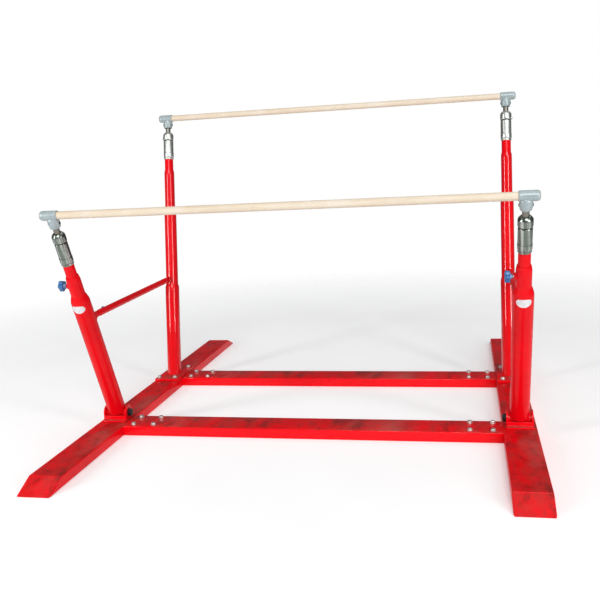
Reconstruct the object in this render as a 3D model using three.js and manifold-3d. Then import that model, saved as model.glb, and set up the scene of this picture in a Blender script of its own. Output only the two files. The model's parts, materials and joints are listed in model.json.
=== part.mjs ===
// Free-standing uneven parallel bars, in millimetres.
// +X runs along the rails, +Y towards the high rail, +Z up. The origin is on the floor,
// in the middle of the base.
import * as THREE from 'three';
import { mergeVertices } from 'three/addons/utils/BufferGeometryUtils.js';
import Module from 'manifold-3d';

const wasm = await Module();
wasm.setup();

const GAP = 0.3; // space between neighbouring parts
const ROUND = 16; // sides of the large turned parts
const PIN_ROUND = 12; // sides of cross pins and their holes
const SMALL_ROUND = 8; // sides of bolt shanks
const SIDES = [['left', -1], ['right', 1]];

// Base frame
const POST_X = 1150; // posts' distance from the middle
const BASE_LENGTH = 3080;
const BASE_WIDTH = 175;
const BASE_HEIGHT = 56;
const BASE_WEDGE = 130; // length of the sloping cut at each end
const BASE_CORNER = 7;
const BASE_WALL = 5;
const BEAM_WIDTH = 190;
const BEAM_WALL = 4;
const FRONT_BEAM_Y = -598;
const REAR_BEAM_Y = 390;
const SPIGOT_LENGTH = 215; // stub on the side base that fills the beam's end
const SPIGOT_SIZE = { width: 180, height: 46, wall: 4 };
const BEAM_BOLTS = { x: 945, spacingX: 120, spacingY: 120 };
const POST_BOLTS = { spacingX: 110, spacingY: 274 };
const BOLT = { shank: 8, head: 14, headHeight: 9, washer: 16, washerHeight: 2.5, hole: 8.6 };

// High posts: the axis leans back from the foot
const HIGH_FOOT_Y = 375;
const HIGH_HEAD = { y: 643.1, z: 1784.5 }; // hinge pin of the high rail heads
const HIGH_PLATE = { width: 164, length: 350, thickness: 14 };
const HIGH_TUBES = [[47.5, 618], [41, 640], [41, 1123], [34, 1145], [34, 1412], [32, 1432]];
const HIGH_BORES = [[29.5, 1432], [29.5, 1150], [37, 1118], [37, 644], [43, 612]];
const HIGH_INNER_BOTTOM = 830;

// Low posts: hinged at the foot, leaning forwards
const LOW_HINGE = { y: -560, z: 95 };
const LOW_HEAD = { y: -1059.4, z: 1252.9 }; // hinge pin of the low rail heads
const LOW_TUBES = [[51, 20], [51, 797], [38, 835], [38, 925], [33.5, 949]];
const LOW_BORES = [[29.5, 949], [29.5, 830], [46, 792], [46, 20]];
const LOW_INNER_BOTTOM = 490;
const KNUCKLE = { radius: 30, halfWidth: 60.5, bore: 12.3 };
const CHEEK = { inner: 61.3, thickness: 8, radius: 45, front: -45, back: 60, webTop: -8, web: 6 };
const FOOT_PLATE = { width: 144, length: 146, thickness: 8 };
const HINGE_PIN = { radius: 12, nut: 25, nutLength: 18, button: 17, buttonLength: 4 };

// Rail head, sleeve and stem, measured from the head's hinge pin
const INNER_RADIUS = 29; // tube that slides in each post
const RAIL_RADIUS = 20;
const RAIL_RISE = 44; // rail axis above the hinge pin
const RAIL_END = 52; // rail past the post axis
const HEAD = { radius: 25, outer: 62, inner: 33, cup: 30, mouth: 26, skirt: -24, cavity: 22.5, roof: 18 };
const STEM = { radius: 18, tongue: 9.9, tongueRadius: 16, shoulder: 18.5, bottom: 90, flange: 24 };
const SLEEVE = { top: 54, bore: 81.7, bottom: 240 };
const INNER_TOP = 92; // top of the inner tube below the hinge pin
const HEAD_PIN = { radius: 6, head: 9, face: 26.5, length: 31.5 };

// Spacing strut between the posts
const STRUT_HIGH = { y: 413, z: 728 };
const STRUT_LOW = { y: -737, z: 711.5 };
const STRUT = { radius: 19, bore: 17, rod: 16.7, tubeEnd: 1068, rodStart: 720, eye: 18, eyeHalf: 8.5 };
const STRUT_LUG = { inner: 9, thickness: 5, radius: 18 };
const STRUT_PIN = { radius: 7, head: 12, face: 14.3, length: 21 };
const LOOSE_EYE_RADIUS = 11; // the eye at the low post is larger than its pin

// Clamping knobs
const CLAMP_HEIGHT = 888; // along the low post from its hinge
const STAR = { radius: 30, neck: 24, near: -62, far: -88.5, hub: -50 };
const STUD = { radius: 5, tip: -29.6, end: -80 };
const STRUT_KNOB = { along: 952, near: -23, tip: -17.3, screw: 4, boss: 9, bossTop: -22 };

const lowLean = Math.atan2(LOW_HINGE.y - LOW_HEAD.y, LOW_HEAD.z - LOW_HINGE.z);
const lowLength = Math.hypot(LOW_HINGE.y - LOW_HEAD.y, LOW_HEAD.z - LOW_HINGE.z);
const highLean = Math.atan2(HIGH_HEAD.y - HIGH_FOOT_Y, HIGH_HEAD.z - BASE_HEIGHT);
const highLength = Math.hypot(HIGH_HEAD.y - HIGH_FOOT_Y, HIGH_HEAD.z - BASE_HEIGHT);
const strutLength = Math.hypot(STRUT_HIGH.y - STRUT_LOW.y, STRUT_HIGH.z - STRUT_LOW.z);
const strutTilt = Math.atan2(STRUT_HIGH.z - STRUT_LOW.z, STRUT_HIGH.y - STRUT_LOW.y);

function paint(color, roughness, metalness) {
  return new THREE.MeshStandardMaterial({ color, roughness, metalness });
}
const redPaint = () => paint(0xc4161f, 0.3, 0.1);
const zinc = () => paint(0xb9bab5, 0.35, 0.9);
const plated = () => paint(0xc9cccb, 0.15, 1.0);
const castGrey = () => paint(0x9aa5a6, 0.5, 0.5);
const black = () => paint(0x16181a, 0.5, 0.3);
const wood = () => paint(0xe6d2b0, 0.6, 0.0);
const blue = () => paint(0x2f7fc0, 0.4, 0.0);
const navy = () => paint(0x2a3570, 0.4, 0.0);

// ---- solids -------------------------------------------------------------

function toSolid(geometry) {
  const plain = geometry.clone();
  plain.deleteAttribute('normal');
  plain.deleteAttribute('uv');
  const merged = mergeVertices(plain, 1e-4);
  return new wasm.Manifold(new wasm.Mesh({
    numProp: 3,
    vertProperties: new Float32Array(merged.attributes.position.array),
    triVerts: new Uint32Array(merged.index.array),
  }));
}

function toGeometry(solid) {
  const mesh = solid.getMesh();
  const geometry = new THREE.BufferGeometry();
  geometry.setAttribute('position', new THREE.BufferAttribute(mesh.vertProperties.slice(), 3));
  geometry.setIndex(new THREE.BufferAttribute(mesh.triVerts.slice(), 1));
  const flat = geometry.toNonIndexed();
  flat.computeVertexNormals();
  return flat;
}

function box(x0, x1, y0, y1, z0, z1) {
  const geometry = new THREE.BoxGeometry(x1 - x0, y1 - y0, z1 - z0);
  geometry.translate((x0 + x1) / 2, (y0 + y1) / 2, (z0 + z1) / 2);
  return toSolid(geometry);
}

// Turned about Z: points are [radius, height], going up the outside and down the bore.
function turned(points, sides = ROUND) {
  const profile = points.map(([radius, height]) => new THREE.Vector2(radius, height));
  if (points[0][0] > 0) {
    profile.push(profile[0].clone());
  }
  return toSolid(new THREE.LatheGeometry(profile, sides)).rotate([90, 0, 0]);
}

function rodZ(radius, z0, z1, sides = SMALL_ROUND) {
  return turned([[0, z0], [radius, z0], [radius, z1], [0, z1]], sides);
}

const rodX = (radius, x0, x1, sides = PIN_ROUND) => rodZ(radius, x0, x1, sides).rotate([0, 90, 0]);

// A slab cut from an outline in the Y-Z plane, between two X positions.
function slabYZ(outline, x0, x1) {
  const shape = new THREE.Shape(outline.map(([y, z]) => new THREE.Vector2(y, z)));
  const geometry = new THREE.ExtrudeGeometry(shape, { depth: x1 - x0, bevelEnabled: false });
  return toSolid(geometry).rotate([90, 0, 90]).translate([x0, 0, 0]);
}

// A bar of rounded rectangular section along Y, centred on X and standing on z0.
function barY(width, height, corner, y0, y1, z0) {
  const shape = new THREE.Shape();
  const w = width / 2;
  shape.moveTo(-w + corner, 0);
  shape.lineTo(w - corner, 0);
  shape.absarc(w - corner, corner, corner, -Math.PI / 2, 0);
  shape.lineTo(w, height - corner);
  shape.absarc(w - corner, height - corner, corner, 0, Math.PI / 2);
  shape.lineTo(-w + corner, height);
  shape.absarc(-w + corner, height - corner, corner, Math.PI / 2, Math.PI);
  shape.lineTo(-w, corner);
  shape.absarc(-w + corner, corner, corner, Math.PI, 1.5 * Math.PI);
  const options = { depth: y1 - y0, bevelEnabled: false, curveSegments: 2 };
  const geometry = new THREE.ExtrudeGeometry(shape, options);
  return toSolid(geometry).rotate([90, 0, 0]).translate([0, y1, z0]);
}

// Outline of a lug with a round end about its pin; outward is +1 or -1 along the first axis.
function roundedLug(pin, radius, root, below, above, outward) {
  const points = [[root, pin[1] - below * outward]];
  for (let i = 0; i <= 8; i += 1) {
    const angle = (i / 8 - 0.5) * Math.PI;
    points.push([pin[0] + outward * radius * Math.cos(angle), pin[1] + outward * radius * Math.sin(angle)]);
  }
  points.push([root, pin[1] + above * outward]);
  return points;
}

// ---- base frame ---------------------------------------------------------

function wedgePrism(inset) {
  const half = BASE_LENGTH / 2 - inset * 1.6;
  const low = inset;
  const high = BASE_HEIGHT - inset;
  const cut = half - BASE_WEDGE;
  return slabYZ([[-half, low], [half, low], [cut, high], [-cut, high]], -100, 100);
}

function spigot(side, y) {
  const { width, height, wall } = SPIGOT_SIZE;
  const z0 = (BASE_HEIGHT - height) / 2;
  const root = -side * (BASE_WIDTH / 2 - 2);
  const tip = -side * (BASE_WIDTH / 2 + SPIGOT_LENGTH);
  const [x0, x1] = [Math.min(root, tip), Math.max(root, tip)];
  const w = width / 2;
  return box(x0, x1, y - w, y + w, z0, z0 + height)
    .subtract(box(x0 - side * 8, x1 - side * 8, y - w + wall, y + w - wall, z0 + wall, z0 + height - wall));
}

function boltSpots(spacingX, spacingY) {
  const x = spacingX / 2;
  const y = spacingY / 2;
  return [[-x, -y], [x, -y], [-x, y], [x, y]];
}

function drill(solid, spots, x, y, z0, z1) {
  return spots.reduce(
    (rest, [dx, dy]) => rest.subtract(rodZ(BOLT.hole, z0, z1).translate([x + dx, y + dy, 0])),
    solid,
  );
}

function sideBase(side) {
  const half = BASE_LENGTH / 2;
  const outer = barY(BASE_WIDTH, BASE_HEIGHT, BASE_CORNER, -half, half, 0).intersect(wedgePrism(0));
  const cavity = barY(BASE_WIDTH - 2 * BASE_WALL, BASE_HEIGHT - 2 * BASE_WALL, 2, -half, half, BASE_WALL)
    .intersect(wedgePrism(BASE_WALL));
  const spots = boltSpots(BEAM_BOLTS.spacingX, BEAM_BOLTS.spacingY);
  const boltX = side * (BEAM_BOLTS.x - POST_X);
  const stubs = [FRONT_BEAM_Y, REAR_BEAM_Y]
    .map((y) => drill(spigot(side, y), spots, boltX, y, BASE_HEIGHT / 2, BASE_HEIGHT));
  const shell = stubs.reduce((sum, stub) => sum.add(stub), outer.subtract(cavity));
  const plateSpots = boltSpots(POST_BOLTS.spacingX, POST_BOLTS.spacingY);
  return drill(shell, plateSpots, 0, REAR_BEAM_Y, BASE_HEIGHT / 2, BASE_HEIGHT + 1);
}

function crossBeam() {
  const reach = POST_X - BASE_WIDTH / 2 - GAP;
  const outer = barY(BEAM_WIDTH, BASE_HEIGHT, 6, -reach, reach, 0);
  const boreWidth = BEAM_WIDTH - 2 * BEAM_WALL;
  const boreHeight = BASE_HEIGHT - 2 * BEAM_WALL;
  const bore = barY(boreWidth, boreHeight, 2, -reach - 1, reach + 1, BEAM_WALL);
  const tube = outer.subtract(bore).rotate([0, 0, 90]);
  const spots = boltSpots(BEAM_BOLTS.spacingX, BEAM_BOLTS.spacingY);
  return [-1, 1].reduce(
    (beam, side) => drill(beam, spots, side * BEAM_BOLTS.x, 0, BASE_HEIGHT - 10, BASE_HEIGHT + 1),
    tube,
  );
}

// Four bolts screwed into one tapped plate; seat is the height the washers rest on.
function boltGroup(spacingX, spacingY, seat, plateTop, plateThickness) {
  const margin = 16;
  const x = spacingX / 2 + margin;
  const y = spacingY / 2 + margin;
  const plate = box(-x, x, -y, y, plateTop - plateThickness, plateTop);
  const bolt = turned([
    [0, plateTop - plateThickness / 2], [BOLT.shank, plateTop - plateThickness / 2], [BOLT.shank, seat],
    [BOLT.washer, seat], [BOLT.washer, seat + BOLT.washerHeight], [0, seat + BOLT.washerHeight],
  ], SMALL_ROUND);
  const head = rodZ(BOLT.head, seat + 1, seat + BOLT.washerHeight + BOLT.headHeight, 6);
  const single = bolt.add(head);
  const spots = boltSpots(spacingX, spacingY);
  return spots.reduce((sum, [dx, dy]) => sum.add(single.translate([dx, dy, 0])), plate);
}

// ---- posts --------------------------------------------------------------

function lugPair(outline) {
  const { inner, thickness } = STRUT_LUG;
  return slabYZ(outline, inner, inner + thickness).add(slabYZ(outline, -inner - thickness, -inner));
}

// A point of the Y-Z plane seen from a leaning post: [across, along].
function postPoint(origin, lean, y, z) {
  const dy = y - origin.y;
  const dz = z - origin.z;
  return [dy * Math.cos(lean) + dz * Math.sin(lean), -dy * Math.sin(lean) + dz * Math.cos(lean)];
}

// The high post stands on Z here; its plate is tilted back so that it lies flat once the post leans.
function highPost() {
  const top = HIGH_PLATE.thickness + GAP;
  const base = [[47.5, 6], ...HIGH_TUBES, ...HIGH_BORES, [43, 6]];
  const tube = turned(base);
  const plateY = REAR_BEAM_Y - HIGH_FOOT_Y;
  const halfLength = HIGH_PLATE.length / 2;
  const halfWidth = HIGH_PLATE.width / 2;
  const flat = box(-halfWidth, halfWidth, plateY - halfLength, plateY + halfLength, GAP, top);
  const spots = boltSpots(POST_BOLTS.spacingX, POST_BOLTS.spacingY);
  const tilt = THREE.MathUtils.radToDeg(highLean);
  const plate = drill(flat, spots, 0, plateY, -1, top + 1).rotate([tilt, 0, 0]);
  const under = box(-100, 100, -300, 300, -60, GAP).rotate([tilt, 0, 0]);
  const pin = postPoint({ y: HIGH_FOOT_Y, z: BASE_HEIGHT }, -highLean, STRUT_HIGH.y, STRUT_HIGH.z);
  const lug = roundedLug(pin, STRUT_LUG.radius, -12, 20, 20, -1);
  const lugs = lugPair(lug).subtract(rodZ(38, pin[1] - 60, pin[1] + 60, ROUND));
  return tube.subtract(under).add(plate).add(lugs)
    .subtract(rodX(STRUT_PIN.radius + GAP, -60, 80).translate([0, pin[0], pin[1]]));
}

function lowPost() {
  const tube = turned([...LOW_TUBES, ...LOW_BORES]);
  const knuckle = rodX(KNUCKLE.radius, -KNUCKLE.halfWidth, KNUCKLE.halfWidth, ROUND);
  const pin = postPoint(LOW_HINGE, lowLean, STRUT_LOW.y, STRUT_LOW.z);
  const lug = roundedLug(pin, STRUT_LUG.radius, 12, 75, 26, 1);
  const lugs = lugPair(lug).subtract(rodZ(47, pin[1] - 90, pin[1] + 60, ROUND));
  const stud = rodX(STUD.radius + GAP, -60, 0).translate([0, 0, CLAMP_HEIGHT]);
  const boss = turned([[0, 33], [17, 33], [14, 46], [0, 46]], 16).rotate([0, -90, 0])
    .translate([0, 0, CLAMP_HEIGHT]);
  const core = rodZ(34, CLAMP_HEIGHT - 30, CLAMP_HEIGHT + 30, ROUND);
  return tube.add(knuckle).add(lugs).add(boss.subtract(core)).subtract(stud)
    .subtract(rodX(KNUCKLE.bore, -80, 80, 16))
    .subtract(rodX(STRUT_PIN.radius + GAP, -60, 80).translate([0, pin[0], pin[1]]));
}

function lowFoot() {
  const z0 = BASE_HEIGHT + GAP - LOW_HINGE.z;
  const z1 = z0 + FOOT_PLATE.thickness;
  const halfWidth = FOOT_PLATE.width / 2;
  const halfLength = FOOT_PLATE.length / 2;
  const plate = box(-halfWidth, halfWidth, -halfLength, halfLength, z0, z1);
  const outline = [[CHEEK.front, z0 + 4], [CHEEK.back, z0 + 4]];
  for (let degrees = 0; degrees <= 180; degrees += 15) {
    const angle = THREE.MathUtils.degToRad(degrees);
    outline.push([CHEEK.radius * Math.cos(angle), CHEEK.radius * Math.sin(angle)]);
  }
  outline.push([CHEEK.front, CHEEK.webTop]);
  const outer = CHEEK.inner + CHEEK.thickness;
  const reach = CHEEK.inner + 1;
  const web = box(-reach, reach, CHEEK.front, CHEEK.front + CHEEK.web, z0 + 4, CHEEK.webTop);
  return plate.add(slabYZ(outline, CHEEK.inner, outer)).add(slabYZ(outline, -outer, -CHEEK.inner))
    .add(web).subtract(rodX(KNUCKLE.bore, -90, 90, 16));
}

// The nut is on the side that faces the middle of the frame.
function hingePin(side) {
  const { radius, nut, nutLength, button, buttonLength } = HINGE_PIN;
  const face = CHEEK.inner + CHEEK.thickness + GAP;
  const pin = rodX(radius, -face - 1, face + 1, 16).add(rodX(nut, -face - nutLength, -face, 6))
    .add(rodX(button, face, face + buttonLength, 16));
  return side > 0 ? pin : pin.mirror([1, 0, 0]);
}

function innerTube(bottom, top) {
  const bore = INNER_RADIUS - 4;
  return turned([[INNER_RADIUS, bottom], [INNER_RADIUS, top], [bore, top], [bore, bottom]]);
}

// ---- head, sleeve and stem: the hinge pin is the origin -----------------

function sleeve() {
  const bore = INNER_RADIUS + GAP;
  const { top, bottom } = SLEEVE;
  return turned([
    [33, -bottom], [33, -112], [31.5, -111], [31.5, -107], [34.5, -106], [34.5, -68], [27, -top],
    [STEM.radius + GAP, -top], [STEM.radius + GAP, -SLEEVE.bore], [bore, -SLEEVE.bore], [bore, -bottom],
  ]);
}

function stem() {
  const rod = turned([
    [0, -STEM.bottom], [STEM.flange, -STEM.bottom], [STEM.flange, -STEM.bottom + 8],
    [STEM.radius, -STEM.bottom + 8], [STEM.radius, -STEM.shoulder], [0, -STEM.shoulder],
  ], ROUND);
  const eye = rodX(STEM.tongueRadius, -STEM.tongue, STEM.tongue, ROUND);
  const web = box(-STEM.tongue, STEM.tongue, -15, 15, -STEM.shoulder - 1, 0);
  return rod.add(eye).add(web).subtract(rodX(HEAD_PIN.radius + GAP, -30, 30));
}

// side is the direction of the head's closed outer end.
function railHead(side) {
  const { radius, outer, inner, cup, mouth, skirt, cavity, roof } = HEAD;
  const shell = turned([
    [0, -inner], [radius, -inner], [radius, outer - 14], [radius - 3, outer - 5],
    [radius - 9, outer], [0, outer],
  ]).rotate([0, 90, 0]).translate([0, 0, RAIL_RISE]);
  const socket = turned([
    [mouth, skirt], [cup, 4], [cup, RAIL_RISE - 6], [0, RAIL_RISE - 6], [0, roof], [cavity, roof - 4],
    [cavity, skirt],
  ]);
  const bore = rodX(RAIL_RADIUS + GAP, -inner - 5, RAIL_END + 1, ROUND).translate([0, 0, RAIL_RISE]);
  const spot = rodX(HEAD_PIN.head + 1, HEAD_PIN.face - GAP, 45, 16);
  const head = shell.add(socket).subtract(bore)
    .subtract(rodX(HEAD_PIN.radius + GAP, -40, 40)).subtract(spot).subtract(spot.mirror([1, 0, 0]));
  return side > 0 ? head : head.mirror([1, 0, 0]);
}

function headPin() {
  const cap = rodX(HEAD_PIN.head, HEAD_PIN.face, HEAD_PIN.length, 6);
  return rodX(HEAD_PIN.radius, -HEAD_PIN.face - 1, HEAD_PIN.face + 1).add(cap).add(cap.mirror([1, 0, 0]));
}

// ---- strut and knobs ----------------------------------------------------

// The strut lies along -Y from its pin on the high post.
function strutTube() {
  const tube = turned([
    [STRUT.radius, 40], [STRUT.radius, STRUT.tubeEnd], [STRUT.bore, STRUT.tubeEnd], [STRUT.bore, 40],
  ], ROUND).rotate([90, 0, 0]);
  const plug = rodZ(STRUT.radius, 26, 44, ROUND).rotate([90, 0, 0]);
  const eye = rodX(STRUT.eye, -STRUT.eyeHalf, STRUT.eyeHalf, ROUND)
    .add(box(-STRUT.eyeHalf, STRUT.eyeHalf, -30, 0, -16, 16));
  const core = rodZ(STRUT.bore, STRUT_KNOB.along - 20, STRUT_KNOB.along + 20, ROUND).rotate([90, 0, 0]);
  const boss = rodX(STRUT_KNOB.boss, STRUT_KNOB.bossTop, -12, 16)
    .translate([0, -STRUT_KNOB.along, 0]).subtract(core);
  const screw = rodX(STRUT_KNOB.screw + GAP, -30, -10).translate([0, -STRUT_KNOB.along, 0]);
  return tube.add(plug).add(eye).add(boss).subtract(screw)
    .subtract(rodX(STRUT_PIN.radius + GAP, -30, 30));
}

function strutRod() {
  const end = strutLength;
  const bar = rodZ(STRUT.rod, STRUT.rodStart, end - 28, ROUND).rotate([90, 0, 0]);
  const eye = rodX(STRUT.eye, -STRUT.eyeHalf, STRUT.eyeHalf, ROUND)
    .add(box(-STRUT.eyeHalf, STRUT.eyeHalf, 0, 32, -15, 15))
    .translate([0, -end, 0]);
  return bar.add(eye).subtract(rodX(LOOSE_EYE_RADIUS, -30, 30, 16).translate([0, -end, 0]));
}

function strutPin() {
  const { radius, head, face, length } = STRUT_PIN;
  return rodX(radius, -length, face + 1).add(rodX(head, face, length, 6));
}

function starKnob() {
  const lobes = 5;
  const steps = lobes * 4;
  const outline = [];
  for (let i = 0; i < steps; i += 1) {
    const angle = (i / steps) * 2 * Math.PI;
    const reach = STAR.neck + (STAR.radius - STAR.neck) * (0.5 + 0.5 * Math.cos(lobes * angle));
    outline.push([reach * Math.cos(angle), reach * Math.sin(angle)]);
  }
  const grip = slabYZ(outline, STAR.far, STAR.near);
  const hub = turned([[0, 0], [14, 0], [9, STAR.hub - STAR.near], [0, STAR.hub - STAR.near]], 16)
    .rotate([0, 90, 0]).translate([STAR.near - 1, 0, 0]);
  return grip.add(hub).subtract(rodX(STUD.radius + GAP, STUD.end - GAP, STAR.hub + 5));
}

const clampStud = () => rodX(STUD.radius, STUD.end, STUD.tip);

// A small grip moulded on the screw that locks the strut's rod in its tube.
function strutKnob() {
  const { near, tip, screw } = STRUT_KNOB;
  const grip = turned([[0, 0], [9, 0], [13, 4], [13, 14], [9, 18], [0, 18]], 16)
    .rotate([0, -90, 0]).translate([near, 0, 0]);
  return grip.add(rodX(screw, near - 5, tip));
}

// ---- assembly -----------------------------------------------------------

const bars = new THREE.Group();

function leaningGroup(origin, rotation) {
  const group = new THREE.Group();
  group.position.set(0, origin.y, origin.z);
  group.rotation.x = rotation;
  bars.add(group);
  return group;
}

function place(parent, name, solid, material, x = 0, y = 0, z = 0) {
  const mesh = new THREE.Mesh(toGeometry(solid), material);
  mesh.name = name;
  mesh.position.set(x, y, z);
  parent.add(mesh);
}

function addHeads(level, origin, lean, length, innerBottom, postOrigin) {
  const post = leaningGroup(postOrigin, lean);
  const heads = leaningGroup(origin, lean);
  for (const [name, side] of SIDES) {
    const x = side * POST_X;
    const inner = innerTube(innerBottom, length - INNER_TOP);
    place(post, `${level}_inner_${name}`, inner, redPaint(), x);
    place(post, `${level}_sleeve_${name}`, sleeve(), plated(), x, 0, length);
    place(post, `${level}_stem_${name}`, stem(), zinc(), x, 0, length);
    place(heads, `${level}_head_${name}`, railHead(side), castGrey(), x);
    place(heads, `${level}_head_pin_${name}`, headPin(), black(), x);
  }
  const half = POST_X + RAIL_END;
  place(heads, `${level}_rail`, rodX(RAIL_RADIUS, -half, half, ROUND), wood(), 0, 0, RAIL_RISE);
}

const highFoot = { y: HIGH_FOOT_Y, z: BASE_HEIGHT };
const highPosts = leaningGroup(highFoot, -highLean);
const lowPosts = leaningGroup(LOW_HINGE, lowLean);
const lowFeet = leaningGroup(LOW_HINGE, 0);
const struts = leaningGroup(STRUT_HIGH, strutTilt);
const strutEnd = postPoint(LOW_HINGE, lowLean, STRUT_LOW.y, STRUT_LOW.z);

for (const [name, side] of SIDES) {
  const x = side * POST_X;
  place(bars, `side_base_${name}`, sideBase(side), redPaint(), x);
  const plateSeat = BASE_HEIGHT + HIGH_PLATE.thickness + 2 * GAP;
  const postBolts = boltGroup(
    POST_BOLTS.spacingX, POST_BOLTS.spacingY, plateSeat, BASE_HEIGHT - BASE_WALL - GAP, 10,
  );
  place(bars, `high_post_bolts_${name}`, postBolts, zinc(), x, REAR_BEAM_Y);
  place(highPosts, `high_post_${name}`, highPost(), redPaint(), x);
  place(lowFeet, `low_foot_${name}`, lowFoot(), redPaint(), x);
  place(lowFeet, `low_hinge_pin_${name}`, hingePin(side), black(), x);
  place(lowPosts, `low_post_${name}`, lowPost(), redPaint(), x);
  place(lowPosts, `clamp_stud_${name}`, clampStud(), zinc(), x, 0, CLAMP_HEIGHT);
  place(lowPosts, `clamp_knob_${name}`, starKnob(), blue(), x, 0, CLAMP_HEIGHT);
  place(lowPosts, `strut_low_pin_${name}`, strutPin(), redPaint(), x, ...strutEnd);
  place(struts, `strut_high_pin_${name}`, strutPin(), redPaint(), x);
  place(struts, `strut_tube_${name}`, strutTube(), redPaint(), x);
  place(struts, `strut_rod_${name}`, strutRod(), redPaint(), x);
  place(struts, `strut_knob_${name}`, strutKnob(), navy(), x, -STRUT_KNOB.along);
}

for (const [name, y] of [['front', FRONT_BEAM_Y], ['rear', REAR_BEAM_Y]]) {
  place(bars, `crossbeam_${name}`, crossBeam(), redPaint(), 0, y);
  for (const [end, side] of SIDES) {
    const tappedTop = BASE_HEIGHT - (BASE_HEIGHT - SPIGOT_SIZE.height) / 2 - SPIGOT_SIZE.wall - GAP;
    const bolts = boltGroup(BEAM_BOLTS.spacingX, BEAM_BOLTS.spacingY, BASE_HEIGHT + GAP, tappedTop, 10);
    place(bars, `beam_bolts_${name}_${end}`, bolts, zinc(), side * BEAM_BOLTS.x, y);
  }
}

addHeads('high', HIGH_HEAD, -highLean, highLength, HIGH_INNER_BOTTOM, highFoot);
addHeads('low', LOW_HEAD, lowLean, lowLength, LOW_INNER_BOTTOM, LOW_HINGE);

export default bars;
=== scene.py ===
"""Looks for the uneven parallel bars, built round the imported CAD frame. Metres, +Z up, +X along the rails."""

import json
import math
import random

import bmesh
import bpy
from mathutils import Matrix, Vector


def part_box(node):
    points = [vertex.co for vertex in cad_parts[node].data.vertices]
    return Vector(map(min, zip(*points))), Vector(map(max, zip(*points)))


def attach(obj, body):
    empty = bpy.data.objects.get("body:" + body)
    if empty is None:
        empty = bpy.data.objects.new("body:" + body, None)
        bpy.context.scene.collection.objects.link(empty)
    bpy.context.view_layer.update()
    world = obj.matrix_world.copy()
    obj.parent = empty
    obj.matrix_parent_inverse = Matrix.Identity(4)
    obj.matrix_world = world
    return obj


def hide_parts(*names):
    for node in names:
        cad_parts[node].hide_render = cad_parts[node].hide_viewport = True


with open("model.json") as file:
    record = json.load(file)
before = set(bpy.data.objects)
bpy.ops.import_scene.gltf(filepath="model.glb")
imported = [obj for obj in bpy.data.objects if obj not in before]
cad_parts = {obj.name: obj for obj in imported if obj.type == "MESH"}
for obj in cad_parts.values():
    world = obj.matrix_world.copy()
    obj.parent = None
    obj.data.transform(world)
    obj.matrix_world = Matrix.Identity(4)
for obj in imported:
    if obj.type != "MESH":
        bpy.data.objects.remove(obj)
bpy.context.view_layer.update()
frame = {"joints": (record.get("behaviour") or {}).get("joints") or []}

SIDES = (("left", -1), ("right", 1))
BEAMS = ("front", "rear")
JOINTS = {joint["name"]: joint for joint in frame["joints"]}
MM = 0.001

# Sizes shared with the CAD, in millimetres
BASE_HALF_WIDTH = 87.5
BASE_WEDGE = 130
BASE_CORNER = 6
GAP = 0.3  # between parts that lie on each other
BOLT_SPACING = {"beam": (120, 120), "post": (110, 274)}
PLATE_THICKNESS = 14
POST_PLATE = {"half_width": 82, "half_length": 175}
FOOT_PLATE = {"half_width": 72, "half_length": 73, "thickness": 8}
CHEEK = {"inner": 61.3, "thickness": 8, "radius": 45, "back": 60, "web_top": -8, "web": 6}
KNUCKLE = {"radius": 30, "half": 60.5, "bore": 12.3}
INNER_TUBE = {"radius": 29, "bore": 25, "below_head": 92}
INNER_BOTTOM = {"high": 830, "low": 490}
RAIL_RISE = 44  # rail axis above the head's hinge pin
STRUT_LOW = Vector((0, -0.737, 0.7115))  # the strut's pin on the low post, in metres
STRUT = {
    "radius": 19, "bore": 17, "tube_end": 1068, "rod": 16.7, "rod_start": 720, "eye": 18, "eye_half": 8.5,
}
LUG = {"inner": 9, "thickness": 5, "radius": 18}
CLAMP_HEIGHT = 888  # along the low post, as the sticker's height is
STRUT_KNOB_ALONG = 952
STICKER = {"height": 767, "radius": 51.25, "half_width": 39.0, "half_height": 25.0}


# ---- meshes ---------------------------------------------------------------

def finish_mesh(name, bm, matrix, material, body, nodes=(), sharp=35.0):
    """Turns a bmesh in millimetres into a smooth-shaded object that rides on a body."""
    bmesh.ops.scale(bm, vec=(MM, MM, MM), verts=bm.verts)
    bmesh.ops.recalc_face_normals(bm, faces=bm.faces)
    mesh = bpy.data.meshes.new(name)
    bm.to_mesh(mesh)
    bm.free()
    mesh.polygons.foreach_set("use_smooth", [True] * len(mesh.polygons))
    mesh.set_sharp_from_angle(angle=math.radians(sharp))
    mesh.materials.append(material)
    piece = bpy.data.objects.new(name, mesh)
    bpy.context.scene.collection.objects.link(piece)
    piece.matrix_world = matrix
    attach(piece, body)
    if nodes:
        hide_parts(*nodes)
    return piece


def merge(target, part, matrix):
    """Adds a part's mesh to the target through a matrix."""
    made = {vert: target.verts.new(matrix @ vert.co) for vert in part.verts}
    for face in part.faces:
        target.faces.new([made[vert] for vert in face.verts])
    part.free()


def ring(bm, radius, height, sides, reach):
    """One loop of vertices about Z, or a single vertex on the axis."""
    if radius <= 0:
        return [bm.verts.new((0, 0, height))]
    made = []
    for i in range(sides):
        angle = 2 * math.pi * i / sides
        far = reach(radius, angle) if reach else radius
        made.append(bm.verts.new((far * math.cos(angle), far * math.sin(angle), height)))
    return made


def bridge(bm, low, high):
    """Skins two loops, either of which may be a single vertex; two single vertices need no skin."""
    if len(low) == len(high) == 1:
        return
    for i in range(max(len(low), len(high))):
        j = (i + 1) % max(len(low), len(high))
        if len(low) == 1:
            bm.faces.new((low[0], high[j], high[i]))
        elif len(high) == 1:
            bm.faces.new((low[i], low[j], high[0]))
        else:
            bm.faces.new((low[i], low[j], high[j], high[i]))


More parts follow.
